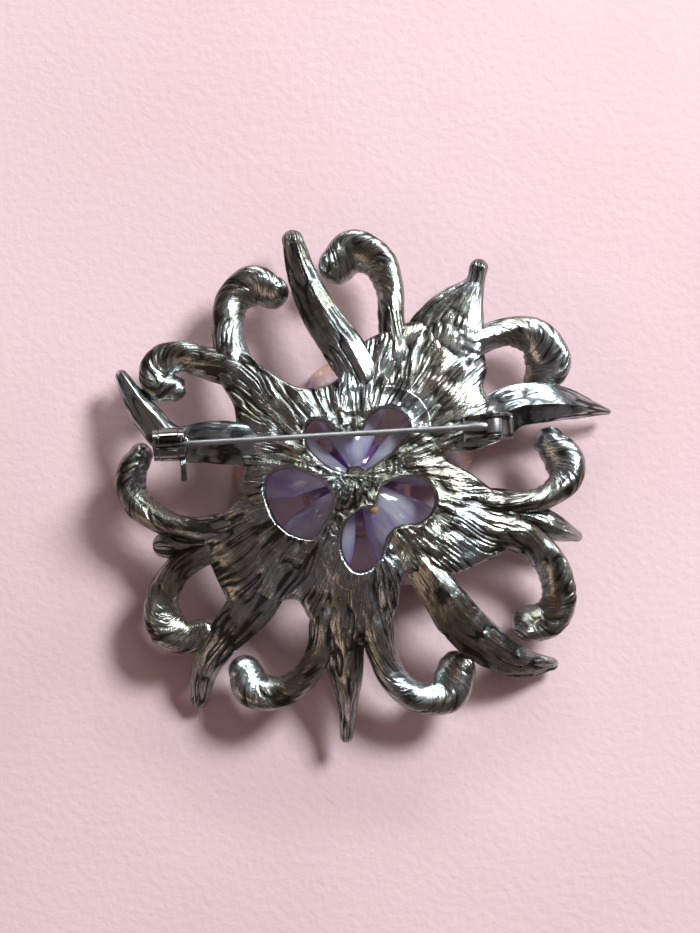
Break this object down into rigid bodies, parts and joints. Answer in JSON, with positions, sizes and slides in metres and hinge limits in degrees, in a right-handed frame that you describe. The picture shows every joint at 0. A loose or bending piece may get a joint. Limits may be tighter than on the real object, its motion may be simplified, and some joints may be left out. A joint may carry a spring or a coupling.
{
  "type": "brooch",
  "caption": "Openwork flower brooch with scroll hooks, leaves, acrylic petals, a hinged pin and a rollover safety catch.",
  "frame": {"origin": "on the surface the brooch lies on, below the middle of its outline; it lies face down on its petals", "axes": "+Z out of the back of the brooch, +X along the pin from the catch to the hinge, +Y across the back on the side of the long upper leaf"},
  "size_m": [0.0704, 0.0726, 0.0171],
  "materials": {
    "gunmetal_cast": "polished black-nickel plate over a chiselled zinc casting",
    "gunmetal_fittings": "polished black-nickel plate on bent sheet",
    "pin_steel": "dark plated steel wire, satin",
    "petal_outer": "translucent lilac acrylic, glossy",
    "petal_inner": "translucent violet acrylic, glossy",
    "crystal_clear": "faceted clear glass",
    "crystal_peach": "faceted peach glass",
    "adhesive": "set amber adhesive"
  },
  "bodies": {
    "brooch": {"hub_web": "gunmetal_cast", "scroll_01": "gunmetal_cast", "scroll_02": "gunmetal_cast", "scroll_03": "gunmetal_cast", "scroll_04": "gunmetal_cast", "scroll_05": "gunmetal_cast", "scroll_06": "gunmetal_cast", "scroll_07": "gunmetal_cast", "scroll_08": "gunmetal_cast", "scroll_09": "gunmetal_cast", "scroll_10": "gunmetal_cast", "leaf_01": "gunmetal_cast", "leaf_02": "gunmetal_cast", "leaf_03": "gunmetal_cast", "leaf_04": "gunmetal_cast", "leaf_05": "gunmetal_cast", "leaf_06": "gunmetal_cast", "leaf_07": "gunmetal_cast", "leaf_08": "gunmetal_cast", "leaf_09": "gunmetal_cast", "flower_post": "gunmetal_cast", "flower_seat": "gunmetal_cast", "centre_cup": "gunmetal_cast", "hinge_bracket": "gunmetal_fittings", "hinge_rivet": "gunmetal_fittings", "catch_housing": "gunmetal_fittings", "petal_outer_1": "petal_outer", "petal_outer_2": "petal_outer", "petal_outer_3": "petal_outer", "petal_outer_4": "petal_outer", "petal_outer_5": "petal_outer", "petal_inner_1": "petal_inner", "petal_inner_2": "petal_inner", "petal_inner_3": "petal_inner", "petal_inner_4": "petal_inner", "petal_inner_5": "petal_inner", "centre_stone": "crystal_clear", "stones_01": "crystal_peach", "stones_02": "crystal_peach", "stones_03": "crystal_peach", "stones_04": "crystal_peach", "stones_05": "crystal_peach", "stones_06": "crystal_peach", "stones_07": "crystal_peach", "stones_08": "crystal_peach", "stones_09": "crystal_peach", "stones_10": "crystal_peach", "glue_bead": "adhesive"},
    "pin": {"pin_stem": "pin_steel"},
    "catch": {"catch_roller": "gunmetal_fittings"}
  },
  "joints": [
    {"name": "pin_swing", "type": "hinge", "parent": "brooch", "child": "pin", "pos_m": [0.0178, 0.006, 0.015], "axis": [0, 1, 0], "range_deg": [0, 95]},
    {"name": "catch_turn", "type": "hinge", "parent": "brooch", "child": "catch", "pos_m": [-0.0268, 0.006, 0.015], "axis": [-1, 0, 0], "range_deg": [0, 90]}
  ]
}
